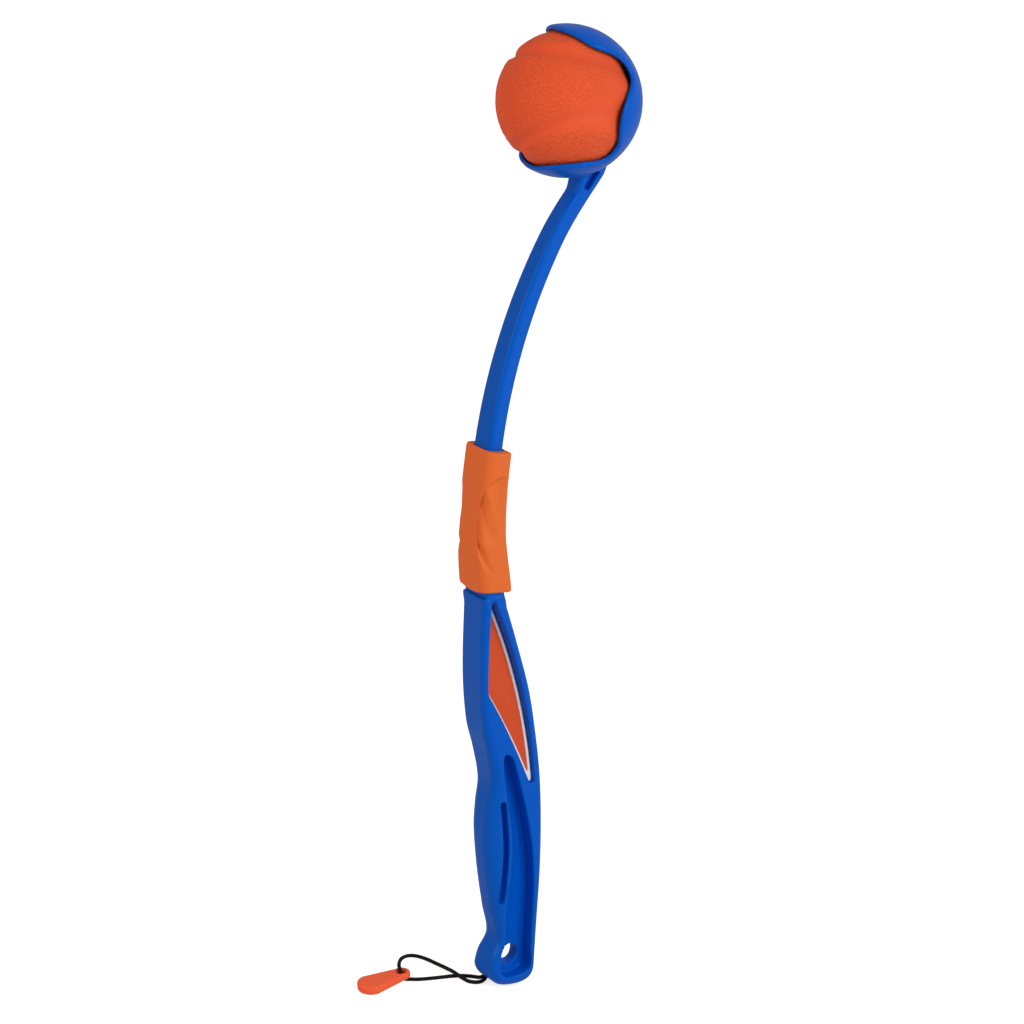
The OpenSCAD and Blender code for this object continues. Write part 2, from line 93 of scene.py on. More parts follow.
def add_node(tree, kind, values=None, links=None, **settings):
    """One node with its settings, socket values and incoming links, by socket name or index."""
    node = tree.nodes.new(kind)
    for key, value in settings.items():
        setattr(node, key, value)
    for key, value in (values or {}).items():
        node.inputs[key].default_value = value
    for key, socket in (links or {}).items():
        tree.links.new(socket, node.inputs[key])
    return node


def link_object(obj):
    bpy.context.scene.collection.objects.link(obj)
    return obj


# %% [markdown]
# ## Light and floor
# Catalogue light is soft and comes from all round: a pale world, one broad lamp high in front of the
# near side, a warm one from the left that keeps the orange faces there red, and a small low card whose
# reflection runs along the arm. The floor is a plain pale plane. To the camera it glows at white, as the
# photograph's ground does, and it still takes the object's shadow.

# %% World and lamps
SKY_LEVEL = 0.42
world = bpy.data.worlds.new("studio")
world.use_nodes = True
tree = world.node_tree
sky = tree.nodes["Background"]
sky.inputs["Color"].default_value = (1, 1, 1, 1)
sight = add_node(tree, "ShaderNodeLightPath")
level = add_node(tree, "ShaderNodeMapRange", values={"To Min": SKY_LEVEL, "To Max": 1.0},
                 links={"Value": sight.outputs["Is Camera Ray"]})
tree.links.new(level.outputs[0], sky.inputs["Strength"])
bpy.context.scene.world = world
bpy.context.scene.view_settings.view_transform = "Standard"


def area_lamp(name, place, aim, size, watts, tint=(1, 1, 1)):
    """A round lamp at one place that is aimed at another, in metres."""
    data = bpy.data.lights.new(name, "AREA")
    data.shape = "DISK"
    data.size = size
    data.energy = watts
    data.color = tint
    lamp = link_object(bpy.data.objects.new(name, data))
    lamp.location = place
    lamp.rotation_euler = (Vector(aim) - Vector(place)).to_track_quat("-Z", "Y").to_euler()


area_lamp("key_lamp", place=(0.35, -1.65, 1.05), aim=(0, 0, 0.1), size=1.0, watts=19.5)
area_lamp("side_lamp", place=(-1.6, 0.3, 0.8), aim=(0, 0, 0.12), size=0.9, watts=10, tint=(1, 0.68, 0.5))
area_lamp("front_card", place=(0.55, -0.82, -0.06), aim=(0.02, 0, 0.26), size=0.35, watts=0.65)

# %% Floor
GROUND_Z = -83
FLOOR_Z = GROUND_Z * MM
FLOOR_HALF = 4
FLOOR_GLOW = 0.72

floor_corners = [(FLOOR_HALF * x, FLOOR_HALF * y, 0) for x, y in ((-1, -1), (1, -1), (1, 1), (-1, 1))]
floor_mesh = bpy.data.meshes.new("floor")
floor_mesh.from_pydata(floor_corners, [], [(0, 1, 2, 3)])
floor = link_object(bpy.data.objects.new("floor", floor_mesh))
floor.location.z = FLOOR_Z
floor_look = bpy.data.materials.new("pale_floor")
floor_look.use_nodes = True
tree = floor_look.node_tree
tree.nodes.clear()
seen = add_node(tree, "ShaderNodeLightPath")
paper = add_node(tree, "ShaderNodeBsdfDiffuse", values={"Color": linear("#dedede")})
glow = add_node(tree, "ShaderNodeEmission", values={"Color": (1, 1, 1, 1), "Strength": FLOOR_GLOW})
lit = add_node(tree, "ShaderNodeAddShader", links={0: paper.outputs[0], 1: glow.outputs[0]})
mixed = add_node(tree, "ShaderNodeMixShader",
                 links={0: seen.outputs["Is Camera Ray"], 1: paper.outputs[0], 2: lit.outputs[0]})
add_node(tree, "ShaderNodeOutputMaterial", links={"Surface": mixed.outputs[0]})
floor_mesh.materials.append(floor_look)
print("floor at", FLOOR_Z)

# %% [markdown]
# ## Materials
# Every finish is procedural. The moulded plastic has a fine satin grain, the rubber is duller, and the
# cord is woven. Grain sizes are in real millimetres, from Object coordinates, which are those of the
# shared frame. The ball and the label have two colours each, blended by a number that the mesh carries.
# The label's pale border is print. The ball's darker colour in its smooth bands is painted shade.

# %% Materials
CLOUD_MM = 9
# A Mix node's colour sockets share names with its number sockets, so they are taken by index.
MIX_COLOUR_A, MIX_COLOUR_B, MIX_COLOUR_OUT = 6, 7, 2


def principled(look):
    return look.node_tree.nodes["Principled BSDF"].inputs


def finish(name, colour, roughness, grain_mm=0.0, grain_depth=0.0, specular=0.5, mottle=0.0,
           grain_where=None):
    """A Principled material with a fine bump grain, where an attribute allows it, and a mottled gloss."""
    look = bpy.data.materials.new(name)
    look.use_nodes = True
    tree = look.node_tree
    inputs = principled(look)
    inputs["Base Color"].default_value = linear(colour)
    inputs["Roughness"].default_value = roughness
    inputs["Specular IOR Level"].default_value = specular
    place = add_node(tree, "ShaderNodeTexCoord")
    if grain_mm:
        grain = add_node(tree, "ShaderNodeTexNoise", values={"Scale": 1 / (grain_mm * MM), "Detail": 2.0},
                         links={"Vector": place.outputs["Object"]})
        bump = add_node(tree, "ShaderNodeBump", values={"Strength": 1.0, "Distance": grain_depth * MM},
                        links={"Height": grain.outputs[0]})
        if grain_where:
            mask = add_node(tree, "ShaderNodeAttribute", attribute_name=grain_where)
            tree.links.new(mask.outputs["Fac"], bump.inputs["Strength"])
        tree.links.new(bump.outputs[0], inputs["Normal"])
    if mottle:
        cloud = add_node(tree, "ShaderNodeTexNoise", values={"Scale": 1 / (CLOUD_MM * MM), "Detail": 3.0},
                         links={"Vector": place.outputs["Object"]})
        span = add_node(tree, "ShaderNodeMapRange",
                        values={"To Min": roughness - mottle, "To Max": roughness + mottle},
                        links={"Value": cloud.outputs[0]})
        tree.links.new(span.outputs[0], inputs["Roughness"])
    return look


def two_tone(look, attribute, colour_at_0, colour_at_1):
    """Blends a material's base colour by a number stored on the mesh."""
    tree = look.node_tree
    share = add_node(tree, "ShaderNodeAttribute", attribute_name=attribute)
    blend = add_node(tree, "ShaderNodeMix", data_type="RGBA", links={"Factor": share.outputs["Fac"]},
                     values={MIX_COLOUR_A: linear(colour_at_0), MIX_COLOUR_B: linear(colour_at_1)})
    tree.links.new(blend.outputs[MIX_COLOUR_OUT], principled(look)["Base Color"])


blue_plastic = finish("satin_blue_polypropylene", "#0057c4", 0.34, 0.35, 0.008, specular=0.13,
                      mottle=0.04)
principled(blue_plastic)["Specular Tint"].default_value = (0.55, 0.88, 1, 1)
ball_rubber = finish("pebbled_orange_rubber", "#f35c2d", 0.6, 0.7, 1.15, specular=0.25,
                     grain_where="pebbled")
# The smooth bands take the darker orange: painted shade that evens them with the bump-shaded pebbled skin.
two_tone(ball_rubber, "pebbled", "#e2532b", "#f35c2d")
sleeve_rubber = finish("soft_orange_rubber", "#e26a25", 0.55, 0.3, 0.01, specular=0.3)
tab_rubber = finish("soft_red_orange_rubber", "#fb6236", 0.5, 0.3, 0.01, specular=0.3)
label_print = finish("printed_label", "#d64c1f", 0.42, specular=0.25)
two_tone(label_print, "border", "#d64c1f", "#f2f0ee")
cord_weave = finish("black_woven_polyester", "#0b0b0c", 0.7, 0.25, 0.05, specular=0.2)
pin_steel = finish("zinc_plated_steel", "#b8babd", 0.35)
principled(pin_steel)["Metallic"].default_value = 1.0
print("materials:", sorted(m.name for m in bpy.data.materials))

# %% [markdown]
# ## Cord
# A thin woven elastic cord leaves the heel by a hole, passes through the tab and makes a loop on
# the ground. It follows a path, so Geometry Nodes sweep a round profile along a curve, and lift the
# surface in a crossed pattern for the weave. The points are the CAD cord's own route: a place on the
# ground and a lift above it.

# %% Cord path
CORD_D = 1.8
CORD_Z = GROUND_Z + CORD_D / 2
CORD_EXIT = np.array((-8.6, 6.2, -80.5))
CORD_TIP = math.radians(27)
CORD_WAY = np.array((math.sin(CORD_TIP), 0, math.cos(CORD_TIP)))
CORD_INSIDE = 6.9
CORD_STEP = 0.6
KNOT_L = 3.6
STRAND_GAP = 0.04
STRAND_SIDE = CORD_D / 2 + STRAND_GAP
STRAND_BEND = 3.4
SPAN_STEPS = 24
cord_route = [
    (-10.4, 8, 0.4), (-11.6, 10, 0), (-13.8, 12.5, 0), (-17.3, 15.3, 0), (-21, 17.2, 0),
    (-26.4, 19.1, 0), (-32, 21.1, 0), (-36.5, 23.1, 0), (-39.2, 25, 0), (-41.2, 26.2, 0.05),
    (-42.4, 27.1, 1), (-42.9, 27.7, 2.7), (-43.1, 28.5, 4.6), (-42.4, 30.8, 6.2), (-39.4, 34, 6.9),
    (-35, 37, 6.1), (-30, 39.4, 4.3), (-25.4, 39.8, 2.3), (-21.8, 37.4, 0.7), (-20, 33.2, 0),
    (-19.2, 28, 0.2), (-19.3, 23, 0.9), (-19.8, 18.4, 1.75), (-20, 14.4, 2), (-19.3, 10.6, 1.4),
    (-17.7, 7.4, 0.5), (-15.4, 5.4, 0.1), (-12.8, 4.6, 0), (-10.5, 4.8, 0.4),
]


def on_strand(side, along):
    """A point on a strand in the heel's hole."""
    return tuple(CORD_EXIT + (0, side * STRAND_SIDE, 0) + along * CORD_WAY)


def spline_through(points, step):
    """Points at an even step along a smooth curve through the given ones, and the curve's length."""
    p = np.array(points, float)
    p = np.vstack([2 * p[0] - p[1], p, 2 * p[-1] - p[-2]])
    t = np.linspace(0, 1, SPAN_STEPS, endpoint=False)[:, None]
    line = []
    for i in range(1, len(p) - 2):
        a, b, c, d = p[i - 1:i + 3]
        line.append(0.5 * (2 * b + (c - a) * t + (2 * a - 5 * b + 4 * c - d) * t ** 2
                           + (3 * b - a - 3 * c + d) * t ** 3))
    line = np.vstack(line + [p[-2:-1]])
    run = np.concatenate([[0], np.cumsum(np.linalg.norm(np.diff(line, axis=0), axis=1))])
    at = np.linspace(0, run[-1], int(round(run[-1] / step)) + 1)
    return np.column_stack([np.interp(at, run, line[:, k]) for k in range(3)]), run[-1]


CORD_IN = CORD_INSIDE + KNOT_L / 2
cord_corners = [on_strand(1, CORD_IN), on_strand(1, STRAND_BEND), on_strand(1, 0)]
cord_corners += [(x, y, CORD_Z + lift) for x, y, lift in cord_route]
cord_corners += [on_strand(-1, 0), on_strand(-1, STRAND_BEND), on_strand(-1, CORD_IN)]
cord_line, cord_length = spline_through(cord_corners, CORD_STEP)
cord_line[:, 2] = np.maximum(cord_line[:, 2], CORD_Z)
print("cord length %.1f mm, %d points" % (cord_length, len(cord_line)))


# %% Trees of Geometry Nodes
def new_tree(name, inputs):
    """An empty Geometry Nodes tree, the sockets of its inputs, and its output socket."""
    tree = bpy.data.node_groups.new(name, "GeometryNodeTree")
    tree.interface.new_socket("Geometry", in_out="INPUT", socket_type="NodeSocketGeometry")
    for label in inputs:
        tree.interface.new_socket(label, in_out="INPUT", socket_type="NodeSocketFloat")
    tree.interface.new_socket("Geometry", in_out="OUTPUT", socket_type="NodeSocketGeometry")
    enter, leave = tree.nodes.new("NodeGroupInput"), tree.nodes.new("NodeGroupOutput")
    return tree, enter.outputs, leave.inputs[0]


def end_tree(tree, result, material, leave):
    """The last steps of every tree: smooth shading and a material."""
    smooth = add_node(tree, "GeometryNodeSetShadeSmooth", links={0: result})
    painted = add_node(tree, "GeometryNodeSetMaterial", values={"Material": material},
                       links={0: smooth.outputs[0]})
    tree.links.new(painted.outputs[0], leave)


def run_tree(source, tree, values, name):
    """Runs a tree on an object and returns the result as a plain mesh object."""
    modifier = source.modifiers.new("nodes", "NODES")
    modifier.node_group = tree
    for item in tree.interface.items_tree:
        if item.in_out == "INPUT" and item.name in values:
            modifier[item.identifier] = values[item.name]
    source.update_tag()
    bpy.context.view_layer.update()
    shown = source.evaluated_get(bpy.context.evaluated_depsgraph_get())
    mesh = bpy.data.meshes.new_from_object(shown)
    mesh.name = name
    bpy.data.objects.remove(source)
    obj = link_object(bpy.data.objects.new(name, mesh))
    print(name, "from nodes:", len(mesh.polygons), "faces")
    return obj


# %% Short names for common nodes
def maths(tree, operation, a, b=None):
    """A Math node on sockets or plain numbers; returns its output."""
    node = add_node(tree, "ShaderNodeMath", operation=operation)
    for i, value in enumerate((a, b)):
        if isinstance(value, (int, float)):
            node.inputs[i].default_value = value
        elif value is not None:
            tree.links.new(value, node.inputs[i])
    return node.outputs[0]


def along_way(tree, direction, way):
    """How far a direction points along a fixed one."""
    node = add_node(tree, "ShaderNodeVectorMath", operation="DOT_PRODUCT", values={1: way},
                    links={0: direction})
    return node.outputs["Value"]


def store(tree, geometry, name, value):
    """Keeps a number on every point under a name; returns the geometry."""
    node = add_node(tree, "GeometryNodeStoreNamedAttribute", data_type="FLOAT", domain="POINT",
                    values={"Name": name}, links={0: geometry, "Value": value})
    return node.outputs[0]


def stored(tree, name):
    node = add_node(tree, "GeometryNodeInputNamedAttribute", data_type="FLOAT", values={"Name": name})
    return node.outputs[0]


def pushed(tree, geometry, direction, distance):
    """Moves every point along a direction by a distance; returns the geometry."""
    offset = add_node(tree, "ShaderNodeVectorMath", operation="SCALE",
                      links={0: direction, "Scale": distance})
    moved = add_node(tree, "GeometryNodeSetPosition", links={0: geometry, "Offset": offset.outputs[0]})
    return moved.outputs[0]


# %% Cord as Geometry Nodes
CORD_SIDES = 16
WEAVE_TURNS = 4
cord_curve = bpy.data.curves.new("cord_line", "CURVE")
cord_curve.dimensions = "3D"
spline = cord_curve.splines.new("POLY")
spline.points.add(len(cord_line) - 1)
spline.points.foreach_set("co", np.column_stack([cord_line * MM, np.ones(len(cord_line))]).ravel())
cord_source = link_object(bpy.data.objects.new("cord_line", cord_curve))

cord_sizes = {"Radius": CORD_D / 2 * MM, "Weave Depth": 0.06 * MM, "Strand Pitch": 2.4 * MM}
tree, given, leave = new_tree("woven_cord", cord_sizes)
path_place = add_node(tree, "GeometryNodeSplineParameter")
path = store(tree, given["Geometry"], "along", path_place.outputs["Length"])
ring = add_node(tree, "GeometryNodeCurvePrimitiveCircle", values={"Resolution": CORD_SIDES},
                links={"Radius": given["Radius"]})
ring_place = add_node(tree, "GeometryNodeSplineParameter")
profile = store(tree, ring.outputs[0], "round", ring_place.outputs["Factor"])
tube = add_node(tree, "GeometryNodeCurveToMesh", values={"Fill Caps": True},
                links={"Curve": path, "Profile Curve": profile})
pitches = maths(tree, "DIVIDE", stored(tree, "along"), given["Strand Pitch"])
phase = maths(tree, "MULTIPLY", pitches, math.tau)
lean = maths(tree, "MULTIPLY", stored(tree, "round"), WEAVE_TURNS * math.tau)
right_lay = maths(tree, "SINE", maths(tree, "ADD", phase, lean))
left_lay = maths(tree, "SINE", maths(tree, "SUBTRACT", phase, lean))
wave = maths(tree, "MULTIPLY", right_lay, left_lay)
lift = maths(tree, "MULTIPLY", wave, given["Weave Depth"])
outward = add_node(tree, "GeometryNodeInputNormal")
end_tree(tree, pushed(tree, tube.outputs[0], outward.outputs[0], lift), cord_weave, leave)
cord = run_tree(cord_source, tree, cord_sizes, "cord_loop")
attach(cord, "handle")
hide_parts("cord")

# %% [markdown]
# ## Moulded shapes from distance fields
# The handle, arm, sleeve, tab and label are mouldings: bars and shells whose every edge and pocket has
# a small round. Bevels on a boolean mesh break where cuts meet. A distance field doesn't: each form is
# a formula that is negative inside, forms are joined and cut with a soft minimum that leaves a fillet,
# and one routine turns the zero surface into an even mesh of four-sided faces.


# %% Fields
def soft_min(a, b, fillet):
    """The lower of two fields, with a fillet of a given size where they meet."""
    h = np.maximum(fillet - np.abs(a - b), 0) / fillet
    return np.minimum(a, b) - h * h * fillet / 4


def soft_max(a, b, fillet):
    return -soft_min(-a, -b, fillet)


def soft_step(t):
    t = np.clip(t, 0, 1)
    return t * t * (3 - 2 * t)


def round_corner(a, b, radius):
    """Distance to where two fields overlap, with a round of a given radius at the corner."""
    a, b = a + radius, b + radius
    return np.minimum(np.maximum(a, b), 0) + np.hypot(np.maximum(a, 0), np.maximum(b, 0)) - radius


def rounded_box(u, v, low_u, high_u, half_v, radius):
    """Distance to a rounded rectangle in two coordinates."""
    from_mid = np.abs(u - (low_u + high_u) / 2)
    return round_corner(from_mid - (high_u - low_u) / 2, np.abs(v) - half_v, radius)


def curve(points, at):
    """Smooth curve through (position, value) pairs, with mean slopes, as in the CAD source."""
    p = np.array(points, float)
    beside = [(max(i - 1, 0), min(i + 1, len(p) - 1)) for i in range(len(p))]
    slope = np.array([(p[b, 1] - p[a, 1]) / (p[b, 0] - p[a, 0]) for a, b in beside])
    at = np.clip(at, p[0, 0], p[-1, 0])
    i = np.clip(np.searchsorted(p[:, 0], at, side="right") - 1, 0, len(p) - 2)
    h = p[i + 1, 0] - p[i, 0]
    t = (at - p[i, 0]) / h
    return ((2 * t ** 3 - 3 * t ** 2 + 1) * p[i, 1] + (t ** 3 - 2 * t ** 2 + t) * h * slope[i]
            + (3 * t ** 2 - 2 * t ** 3) * p[i + 1, 1] + (t ** 3 - t ** 2) * h * slope[i + 1])


class Outline:
    """Signed distance to a closed outline in the XZ plane, kept on a fine grid."""

    STEP = 0.25
    MARGIN = 8

    def __init__(self, points):
        p = np.array(points, float)
        self.low = p.min(0) - self.MARGIN
        self.shape = np.ceil((p.max(0) + self.MARGIN - self.low) / self.STEP).astype(int) + 2
        axes = [self.low[k] + self.STEP * np.arange(self.shape[k]) for k in (0, 1)]
        gx, gz = np.meshgrid(*axes, indexing="ij")
        best = np.full(gx.shape, 1e9)
        inside = np.zeros(gx.shape, bool)
        for a, b in zip(p, np.roll(p, -1, axis=0)):
            d = b - a
            t = np.clip(((gx - a[0]) * d[0] + (gz - a[1]) * d[1]) / max(d @ d, 1e-12), 0, 1)
            best = np.minimum(best, (gx - a[0] - t * d[0]) ** 2 + (gz - a[1] - t * d[1]) ** 2)
            if a[1] != b[1]:
                inside ^= ((a[1] > gz) != (b[1] > gz)) & (gx < a[0] + (gz - a[1]) / d[1] * d[0])
        self.grid = np.sqrt(best) * np.where(inside, -1, 1)

    def __call__(self, x, z):
        """The distance at any place, read between the grid's points."""
        u = np.clip((x - self.low[0]) / self.STEP, 0, self.shape[0] - 1.001)
        v = np.clip((z - self.low[1]) / self.STEP, 0, self.shape[1] - 1.001)
        i, j = u.astype(int), v.astype(int)
        fu, fv = u - i, v - j
        g = self.grid
        return ((g[i, j] * (1 - fu) + g[i + 1, j] * fu) * (1 - fv)
                + (g[i, j + 1] * (1 - fu) + g[i + 1, j + 1] * fu) * fv)


# %% From field to mesh
SLAB = 24
SETTLE_ROUNDS = 4
SLOPE_REACH = 0.03


def cell_points(values, low, step):
    """One point in each grid cell that the surface crosses, and the point's number for each cell."""
    n = values.shape
    inside = values < 0
    corners = [(a, b, c) for a in (0, 1) for b in (0, 1) for c in (0, 1)]
    windows = [tuple(slice(c[k], n[k] - 1 + c[k]) for k in range(3)) for c in corners]
    count = sum(inside[window].astype(np.int8) for window in windows)
    cells = np.argwhere((count > 0) & (count < 8))
    number = np.full([m - 1 for m in n], -1, np.int64)
    number[tuple(cells.T)] = np.arange(len(cells))
    total = np.zeros((len(cells), 3))
    crossings = np.zeros(len(cells))
    edges = [(corner, axis) for corner in corners for axis in range(3) if not corner[axis]]
    for a, axis in edges:
        b = tuple(a[k] + (k == axis) for k in range(3))
        fa, fb = (values[tuple((cells + c).T)].astype(float) for c in (a, b))
        cut = (fa < 0) != (fb < 0)
        t = fa / np.where(cut, fa - fb, 1)
        point = np.array(a, float)[None] + t[:, None] * np.eye(3)[axis]
        total += point * cut[:, None]
        crossings += cut
    return np.array(low) + step * (cells + total / crossings[:, None]), number


def cell_faces(inside, number):
    """A four-sided face round each grid edge that the surface crosses, turned to look outwards."""
    faces = []
    for axis, (u, v) in enumerate([(1, 2), (2, 0), (0, 1)]):
        edges = np.argwhere(np.diff(inside, axis=axis))
        clear = (edges > 0) & (edges < np.array(inside.shape) - 1)
        edges = edges[clear[:, u] & clear[:, v]]
        ring = []
        for du, dv in ((-1, -1), (0, -1), (0, 0), (-1, 0)):
            cell = edges.copy()
            cell[:, u] += du
            cell[:, v] += dv
            ring.append(number[tuple(cell.T)])
        ring = np.column_stack(ring)
        flip = ~inside[tuple(edges.T)]
        ring[flip] = ring[flip][:, ::-1]
        faces.append(ring)
    return np.vstack(faces)


def onto_surface(field, p, step):
    """Moves points along the field's slope to where it is zero, by no more than half a step."""
    f = field(*p.T)
    reach = SLOPE_REACH * np.eye(3)
    slope = np.column_stack([(field(*(p + e).T) - field(*(p - e).T)) / (2 * SLOPE_REACH) for e in reach])
    move = -f[:, None] * slope / np.maximum((slope ** 2).sum(1), 0.05)[:, None]
    length = np.linalg.norm(move, axis=1)
    return p + move * np.minimum(1, 0.5 * step / np.maximum(length, 1e-9))[:, None]


def moulded(name, field, low, high, step, material):
    """The zero surface of field(x, y, z), in millimetres, as a smooth mesh object."""
    axes = [np.arange(low[k], high[k] + step, step) for k in range(3)]
    values = np.empty([len(a) for a in axes], np.float32)
    for k in range(0, len(axes[2]), SLAB):
        slab = np.meshgrid(axes[0], axes[1], axes[2][k:k + SLAB], indexing="ij")
        values[:, :, k:k + SLAB] = field(*slab)
    points, number = cell_points(values, low, step)
    for _ in range(SETTLE_ROUNDS):
        points = onto_surface(field, points, step)
    mesh = bpy.data.meshes.new(name)
    mesh.from_pydata((points * MM).tolist(), [], cell_faces(values < 0, number).tolist())
    mesh.validate()
    mesh.shade_smooth()
    mesh.materials.append(material)
    print(name, "moulded:", len(mesh.polygons), "faces")
    return link_object(bpy.data.objects.new(name, mesh))


# %% [markdown]
# ## The stick's own coordinates
# The stick's middle line is one large arc. Arm and sleeve are easy to describe beside it: an angle
# along the arc, and a distance behind the line. The hinge has a small frame of its own on that arc.

# %% Arc and hinge coordinates
SHOULDER_Z = 120
ARC_R = 260
ARC_X = ARC_R - 13.9
ARC_Z = SHOULDER_Z + 28
SLEEVE_L = 65.5
SLEEVE_LOW = math.asin((SHOULDER_Z + 3.6 - ARC_Z) / ARC_R)
SLEEVE_HIGH = SLEEVE_LOW + SLEEVE_L / ARC_R
HINGE_TURN = SLEEVE_LOW + 8 / ARC_R
END_TURN = math.radians(40)
PIN_BACK = -2.5
PIN_R = 1.7
KNUCKLE_R = 3.5


def arc_place(x, z):
    """(angle along the arc, distance behind the line)."""
    dx, dz = ARC_X - x, z - ARC_Z
    return np.arctan2(dz, dx), ARC_R - np.hypot(dx, dz)


def by_arc(turn, back):
    """The place at an angle along the arc and a distance behind it."""
    return np.array((ARC_X - (ARC_R - back) * math.cos(turn), ARC_Z + (ARC_R - back) * math.sin(turn)))


PIN_X, PIN_Z = by_arc(HINGE_TURN, PIN_BACK)


def hinge_place(x, z):
    """(distance behind the pin, height above it) along the stick at the hinge."""
    c, s = math.cos(HINGE_TURN), math.sin(HINGE_TURN)
    return (x - PIN_X) * c - (z - PIN_Z) * s, (x - PIN_X) * s + (z - PIN_Z) * c


ARM_END = by_arc(END_TURN, 0)
CUP_IN = 32.25
CUP_WALL = 2.3
CUP_MID = CUP_IN + CUP_WALL / 2
CUP_LEAN = math.radians(28)
BALL_X = ARM_END[0] - CUP_MID * math.sin(CUP_LEAN)
BALL_Z = ARM_END[1] + CUP_MID * math.cos(CUP_LEAN)
print("pin at %.1f, %.1f; ball at %.1f, %.1f" % (PIN_X, PIN_Z, BALL_X, BALL_Z))

# %% [markdown]
# ## Handle
# A moulded grip: a deep, flat bar with a finger hollow, a palm swell and a heel. Each side has a long
# curved channel that ends in a U-shaped pocket round the hang hole, and a narrow slot beside it. The
# near side has a sunk panel for the label. The side view is an outline, thickened with rounded edges,
# and the pockets are cut from it softly, so their rims catch the light as moulded rims do. Lists such
# as front_line pair a height with a place or size there.

# %% Handle outline
HEEL_Z = -72
HEEL_FRONT = -14.4
HEEL_BACK = 9.6
FOOT_X = 1.0
SHOULDER_X = ARC_X - ARC_R * math.cos(math.asin((SHOULDER_Z - ARC_Z) / ARC_R))
SHOULDER_DROP = 1.5
OUTLINE_STEPS = 120
FOOT_STEPS = 24
front_line = [(HEEL_Z, HEEL_FRONT), (-65, -12.7), (-57, -8.9), (-42, -11.8), (-20, -15), (0, -16.2),
              (12, -15), (24, -13), (40, -15.3), (54, -18.4), (80, -19.9), (SHOULDER_Z, SHOULDER_X - 6.2)]
back_line = [(HEEL_Z, HEEL_BACK), (-50, 11.1), (-25, 12.9), (0, 13.5), (25, 12.7), (50, 9.8), (70, 6.4),
             (95, -0.4), (SHOULDER_Z, SHOULDER_X + 4.5)]
front_round = [(GROUND_Z, 4), (-70, 4.2), (-55, 7), (-25, 8), (0, 7.5), (25, 5.5), (60, 3.3),
               (SHOULDER_Z, 3)]


def foot_arc(side_x, turns):
    """A quarter ellipse from the foot's lowest point towards one side of the heel."""
    return [(FOOT_X + (side_x - FOOT_X) * math.cos(a), HEEL_Z + (GROUND_Z - HEEL_Z) * math.sin(a))
            for a in turns]


def side_points(line, heights):
    return list(zip(curve(line, heights), heights))


foot_turns = np.radians(np.linspace(90, 0, FOOT_STEPS, endpoint=False))
front_heights = np.linspace(HEEL_Z, SHOULDER_Z - SHOULDER_DROP, OUTLINE_STEPS)
back_heights = np.linspace(SHOULDER_Z, HEEL_Z, OUTLINE_STEPS)
handle_points = foot_arc(HEEL_FRONT, foot_turns) + side_points(front_line, front_heights)
handle_points += side_points(back_line, back_heights) + foot_arc(HEEL_BACK, foot_turns[1:])[::-1]
handle_outline = Outline(handle_points)
print("handle outline:", len(handle_points), "points")

# %% Handle pockets
HANDLE_HALF = 10.0
HANG_X = -1.5
HANG_Z = HEEL_Z + 5.3
HANG_R = 5.0
WEB = 7.8
WEB_BACK = 4.4
POCKET_FRONT, POCKET_REAR = -10.4, 6.9
POCKET_LOW, POCKET_HIGH = HANG_Z - 8.8, HANG_Z + 1.0
POCKET_R, POCKET_CORNER = 8.0, 4.8
CHANNEL_TOP = 39.5
HOLLOW = 2.4
FLOOR_EASE, WALL_EASE = 0.7, 0.9
SLOT_LOW, SLOT_HIGH = -37.5, 15.5
SLOT_HALF, SLOT_DEPTH = 1.5, 4.6
channel_left = [(HANG_Z, -8), (-50, -8.6), (-35, -6.4), (-24, -4.7), (-10, -3.6), (4, -4.5), (16, -6.2),
                (30, -8.1), (40, -8.4)]
channel_right = [(HANG_Z, 6.8), (-50, 7.6), (-35, 8.4), (-24, 8.4), (-10, 7.4), (4, 5.2), (16, 2.5),
                 (30, -1.1), (40, -3.9)]
slot_line = [(SLOT_LOW, -9), (-28, -8.1), (-9, -6.95), (8, -7.9), (SLOT_HIGH, -8.6)]


def channel_field(x, ay, z):
    """A trough whose floor slopes down from the grip to a steep wall at the back."""
    left, right = curve(channel_left, z), curve(channel_right, z)
    u = np.clip((x - left) / (right - left), -0.5, 1)
    floor_y = HANDLE_HALF - (HANDLE_HALF - WEB_BACK / 2) * (1 - np.abs(1 - u) ** HOLLOW)
    trough = soft_max((floor_y - ay) * FLOOR_EASE, (x - right) * WALL_EASE, 0.9)
    return soft_max(trough, z - CHANNEL_TOP, 5)


def hollow_field(x, ay, z):
    """The channel and the pocket round the hang hole, joined into one hollow."""
    pocket_end = rounded_box(x, z - (POCKET_LOW + POCKET_HIGH) / 2, POCKET_FRONT, POCKET_REAR,
                             (POCKET_HIGH - POCKET_LOW) / 2, POCKET_CORNER)
    pocket_end = soft_min(pocket_end, np.hypot(x - HANG_X, z - HANG_Z) - POCKET_R, 2.5)
    pocket = soft_max(pocket_end, WEB / 2 - ay, 0.8)
    above_end = np.minimum(pocket_end, POCKET_LOW + POCKET_CORNER - z)
    channel = soft_max(channel_field(x, ay, z), above_end, 0.8)
    return soft_min(channel, pocket, 1.2)


def slot_field(x, ay, z):
    """A narrow groove with round ends."""
    mid_z = np.clip(z, SLOT_LOW + SLOT_HALF, SLOT_HIGH - SLOT_HALF)
    from_line = np.hypot(x - curve(slot_line, mid_z), z - mid_z)
    return soft_max(from_line - SLOT_HALF, HANDLE_HALF - SLOT_DEPTH - ay, 0.8)


# %% Label panel
# Three bowed edges, two in front and one at the back, and a floor that leans in.
LABEL_TOP = (SHOULDER_X - 1.9, SHOULDER_Z - 0.2)
LABEL_LOW = (8.9, 14.5)
LABEL_FRONT = (-16.7, 71.5)
LABEL_END = 21.6
UPPER_BOW = 0.5
LOWER_BOW = -1.3
BACK_BOW = 5.2
RECESS = 3.3
RECESS_LEAN = math.radians(2.4)
RECESS_Z = 18


